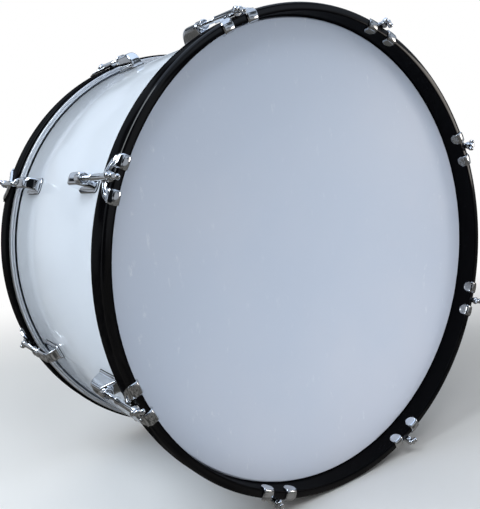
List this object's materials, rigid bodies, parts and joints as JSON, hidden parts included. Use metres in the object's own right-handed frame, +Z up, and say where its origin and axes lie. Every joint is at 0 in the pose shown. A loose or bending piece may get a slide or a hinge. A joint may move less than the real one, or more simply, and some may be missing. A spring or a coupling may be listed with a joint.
{
  "type": "marching bass drum",
  "caption": "Two-headed marching bass drum with gloss black hoops, claws and small T-handle tension rods into split lugs.",
  "frame": {"origin": "on the ground, midway between the two hoops, below the drum's axis", "axes": "+Z up, the drum's axis along Y with the front (pictured) head towards -Y, +X to the player's side with the air vent"},
  "size_m": [0.688, 0.4406, 0.688],
  "materials": {
    "shell_wrap": "gloss white wrap",
    "hoop_black": "gloss black lacquer",
    "drumhead": "smooth milky film",
    "aluminium": "bright drawn",
    "chrome": "polished"
  },
  "bodies": {
    "drum": {"shell": "shell_wrap", "vent_grommet": "chrome", "front_hoop": "hoop_black", "front_flesh_hoop": "aluminium", "front_head": "drumhead", "rear_hoop": "hoop_black", "rear_flesh_hoop": "aluminium", "rear_head": "drumhead", "front_lug_1": "chrome", "front_lug_2": "chrome", "front_lug_3": "chrome", "front_lug_4": "chrome", "front_lug_5": "chrome", "front_lug_6": "chrome", "front_lug_7": "chrome", "front_lug_8": "chrome", "rear_lug_1": "chrome", "rear_lug_2": "chrome", "rear_lug_3": "chrome", "rear_lug_4": "chrome", "rear_lug_5": "chrome", "rear_lug_6": "chrome", "rear_lug_7": "chrome", "rear_lug_8": "chrome"},
    "front_claw_1_body": {"front_claw_1": "chrome"},
    "front_rod_1_body": {"front_tension_rod_1": "chrome"},
    "front_claw_2_body": {"front_claw_2": "chrome"},
    "front_rod_2_body": {"front_tension_rod_2": "chrome"},
    "front_claw_3_body": {"front_claw_3": "chrome"},
    "front_rod_3_body": {"front_tension_rod_3": "chrome"},
    "front_claw_4_body": {"front_claw_4": "chrome"},
    "front_rod_4_body": {"front_tension_rod_4": "chrome"},
    "front_claw_5_body": {"front_claw_5": "chrome"},
    "front_rod_5_body": {"front_tension_rod_5": "chrome"},
    "front_claw_6_body": {"front_claw_6": "chrome"},
    "front_rod_6_body": {"front_tension_rod_6": "chrome"},
    "front_claw_7_body": {"front_claw_7": "chrome"},
    "front_rod_7_body": {"front_tension_rod_7": "chrome"},
    "front_claw_8_body": {"front_claw_8": "chrome"},
    "front_rod_8_body": {"front_tension_rod_8": "chrome"},
    "rear_claw_1_body": {"rear_claw_1": "chrome"},
    "rear_rod_1_body": {"rear_tension_rod_1": "chrome"},
    "rear_claw_2_body": {"rear_claw_2": "chrome"},
    "rear_rod_2_body": {"rear_tension_rod_2": "chrome"},
    "rear_claw_3_body": {"rear_claw_3": "chrome"},
    "rear_rod_3_body": {"rear_tension_rod_3": "chrome"},
    "rear_claw_4_body": {"rear_claw_4": "chrome"},
    "rear_rod_4_body": {"rear_tension_rod_4": "chrome"},
    "rear_claw_5_body": {"rear_claw_5": "chrome"},
    "rear_rod_5_body": {"rear_tension_rod_5": "chrome"},
    "rear_claw_6_body": {"rear_claw_6": "chrome"},
    "rear_rod_6_body": {"rear_tension_rod_6": "chrome"},
    "rear_claw_7_body": {"rear_claw_7": "chrome"},
    "rear_rod_7_body": {"rear_tension_rod_7": "chrome"},
    "rear_claw_8_body": {"rear_claw_8": "chrome"},
    "rear_rod_8_body": {"rear_tension_rod_8": "chrome"}
  },
  "joints": [
    {"name": "front_claw_1_slide", "type": "slide", "parent": "drum", "child": "front_claw_1_body", "axis": [0, -1, 0], "range_m": [0, 0.0148]},
    {"name": "front_rod_1_turn", "type": "hinge", "parent": "front_claw_1_body", "child": "front_rod_1_body", "pos_m": [-0.13356, -0.2088, 0.66643], "axis": [0, -1, 0], "range_deg": [0, 5400]},
    {"name": "front_claw_2_slide", "type": "slide", "parent": "drum", "child": "front_claw_2_body", "axis": [0, -1, 0], "range_m": [0, 0.0148]},
    {"name": "front_rod_2_turn", "type": "hinge", "parent": "front_claw_2_body", "child": "front_rod_2_body", "pos_m": [0.13356, -0.2088, 0.66643], "axis": [0, -1, 0], "range_deg": [0, 5400]},
    {"name": "front_claw_3_slide", "type": "slide", "parent": "drum", "child": "front_claw_3_body", "axis": [0, -1, 0], "range_m": [0, 0.0148]},
    {"name": "front_rod_3_turn", "type": "hinge", "parent": "front_claw_3_body", "child": "front_rod_3_body", "pos_m": [0.32243, -0.2088, 0.47756], "axis": [0, -1, 0], "range_deg": [0, 5400]},
    {"name": "front_claw_4_slide", "type": "slide", "parent": "drum", "child": "front_claw_4_body", "axis": [0, -1, 0], "range_m": [0, 0.0148]},
    {"name": "front_rod_4_turn", "type": "hinge", "parent": "front_claw_4_body", "child": "front_rod_4_body", "pos_m": [0.32243, -0.2088, 0.21044], "axis": [0, -1, 0], "range_deg": [0, 5400]},
    {"name": "front_claw_5_slide", "type": "slide", "parent": "drum", "child": "front_claw_5_body", "axis": [0, -1, 0], "range_m": [0, 0.0148]},
    {"name": "front_rod_5_turn", "type": "hinge", "parent": "front_claw_5_body", "child": "front_rod_5_body", "pos_m": [0.13356, -0.2088, 0.02157], "axis": [0, -1, 0], "range_deg": [0, 5400]},
    {"name": "front_claw_6_slide", "type": "slide", "parent": "drum", "child": "front_claw_6_body", "axis": [0, -1, 0], "range_m": [0, 0.0148]},
    {"name": "front_rod_6_turn", "type": "hinge", "parent": "front_claw_6_body", "child": "front_rod_6_body", "pos_m": [-0.13356, -0.2088, 0.02157], "axis": [0, -1, 0], "range_deg": [0, 5400]},
    {"name": "front_claw_7_slide", "type": "slide", "parent": "drum", "child": "front_claw_7_body", "axis": [0, -1, 0], "range_m": [0, 0.0148]},
    {"name": "front_rod_7_turn", "type": "hinge", "parent": "front_claw_7_body", "child": "front_rod_7_body", "pos_m": [-0.32243, -0.2088, 0.21044], "axis": [0, -1, 0], "range_deg": [0, 5400]},
    {"name": "front_claw_8_slide", "type": "slide", "parent": "drum", "child": "front_claw_8_body", "axis": [0, -1, 0], "range_m": [0, 0.0148]},
    {"name": "front_rod_8_turn", "type": "hinge", "parent": "front_claw_8_body", "child": "front_rod_8_body", "pos_m": [-0.32243, -0.2088, 0.47756], "axis": [0, -1, 0], "range_deg": [0, 5400]},
    {"name": "rear_claw_1_slide", "type": "slide", "parent": "drum", "child": "rear_claw_1_body", "axis": [0, 1, 0], "range_m": [0, 0.0148]},
    {"name": "rear_rod_1_turn", "type": "hinge", "parent": "rear_claw_1_body", "child": "rear_rod_1_body", "pos_m": [-0.13356, 0.2088, 0.66643], "axis": [0, 1, 0], "range_deg": [0, 5400]},
    {"name": "rear_claw_2_slide", "type": "slide", "parent": "drum", "child": "rear_claw_2_body", "axis": [0, 1, 0], "range_m": [0, 0.0148]},
    {"name": "rear_rod_2_turn", "type": "hinge", "parent": "rear_claw_2_body", "child": "rear_rod_2_body", "pos_m": [0.13356, 0.2088, 0.66643], "axis": [0, 1, 0], "range_deg": [0, 5400]},
    {"name": "rear_claw_3_slide", "type": "slide", "parent": "drum", "child": "rear_claw_3_body", "axis": [0, 1, 0], "range_m": [0, 0.0148]},
    {"name": "rear_rod_3_turn", "type": "hinge", "parent": "rear_claw_3_body", "child": "rear_rod_3_body", "pos_m": [0.32243, 0.2088, 0.47756], "axis": [0, 1, 0], "range_deg": [0, 5400]},
    {"name": "rear_claw_4_slide", "type": "slide", "parent": "drum", "child": "rear_claw_4_body", "axis": [0, 1, 0], "range_m": [0, 0.0148]},
    {"name": "rear_rod_4_turn", "type": "hinge", "parent": "rear_claw_4_body", "child": "rear_rod_4_body", "pos_m": [0.32243, 0.2088, 0.21044], "axis": [0, 1, 0], "range_deg": [0, 5400]},
    {"name": "rear_claw_5_slide", "type": "slide", "parent": "drum", "child": "rear_claw_5_body", "axis": [0, 1, 0], "range_m": [0, 0.0148]},
    {"name": "rear_rod_5_turn", "type": "hinge", "parent": "rear_claw_5_body", "child": "rear_rod_5_body", "pos_m": [0.13356, 0.2088, 0.02157], "axis": [0, 1, 0], "range_deg": [0, 5400]},
    {"name": "rear_claw_6_slide", "type": "slide", "parent": "drum", "child": "rear_claw_6_body", "axis": [0, 1, 0], "range_m": [0, 0.0148]},
    {"name": "rear_rod_6_turn", "type": "hinge", "parent": "rear_claw_6_body", "child": "rear_rod_6_body", "pos_m": [-0.13356, 0.2088, 0.02157], "axis": [0, 1, 0], "range_deg": [0, 5400]},
    {"name": "rear_claw_7_slide", "type": "slide", "parent": "drum", "child": "rear_claw_7_body", "axis": [0, 1, 0], "range_m": [0, 0.0148]},
    {"name": "rear_rod_7_turn", "type": "hinge", "parent": "rear_claw_7_body", "child": "rear_rod_7_body", "pos_m": [-0.32243, 0.2088, 0.21044], "axis": [0, 1, 0], "range_deg": [0, 5400]},
    {"name": "rear_claw_8_slide", "type": "slide", "parent": "drum", "child": "rear_claw_8_body", "axis": [0, 1, 0], "range_m": [0, 0.0148]},
    {"name": "rear_rod_8_turn", "type": "hinge", "parent": "rear_claw_8_body", "child": "rear_rod_8_body", "pos_m": [-0.32243, 0.2088, 0.47756], "axis": [0, 1, 0], "range_deg": [0, 5400]}
  ],
  "couplings": [
    {"joint": "front_rod_1_turn", "follows": "front_claw_1_slide", "rad_per_m": 5938.7},
    {"joint": "front_rod_2_turn", "follows": "front_claw_2_slide", "rad_per_m": 5938.7},
    {"joint": "front_rod_3_turn", "follows": "front_claw_3_slide", "rad_per_m": 5938.7},
    {"joint": "front_rod_4_turn", "follows": "front_claw_4_slide", "rad_per_m": 5938.7},
    {"joint": "front_rod_5_turn", "follows": "front_claw_5_slide", "rad_per_m": 5938.7},
    {"joint": "front_rod_6_turn", "follows": "front_claw_6_slide", "rad_per_m": 5938.7},
    {"joint": "front_rod_7_turn", "follows": "front_claw_7_slide", "rad_per_m": 5938.7},
    {"joint": "front_rod_8_turn", "follows": "front_claw_8_slide", "rad_per_m": 5938.7},
    {"joint": "rear_rod_1_turn", "follows": "rear_claw_1_slide", "rad_per_m": 5938.7},
    {"joint": "rear_rod_2_turn", "follows": "rear_claw_2_slide", "rad_per_m": 5938.7},
    {"joint": "rear_rod_3_turn", "follows": "rear_claw_3_slide", "rad_per_m": 5938.7},
    {"joint": "rear_rod_4_turn", "follows": "rear_claw_4_slide", "rad_per_m": 5938.7},
    {"joint": "rear_rod_5_turn", "follows": "rear_claw_5_slide", "rad_per_m": 5938.7},
    {"joint": "rear_rod_6_turn", "follows": "rear_claw_6_slide", "rad_per_m": 5938.7},
    {"joint": "rear_rod_7_turn", "follows": "rear_claw_7_slide", "rad_per_m": 5938.7},
    {"joint": "rear_rod_8_turn", "follows": "rear_claw_8_slide", "rad_per_m": 5938.7}
  ]
}
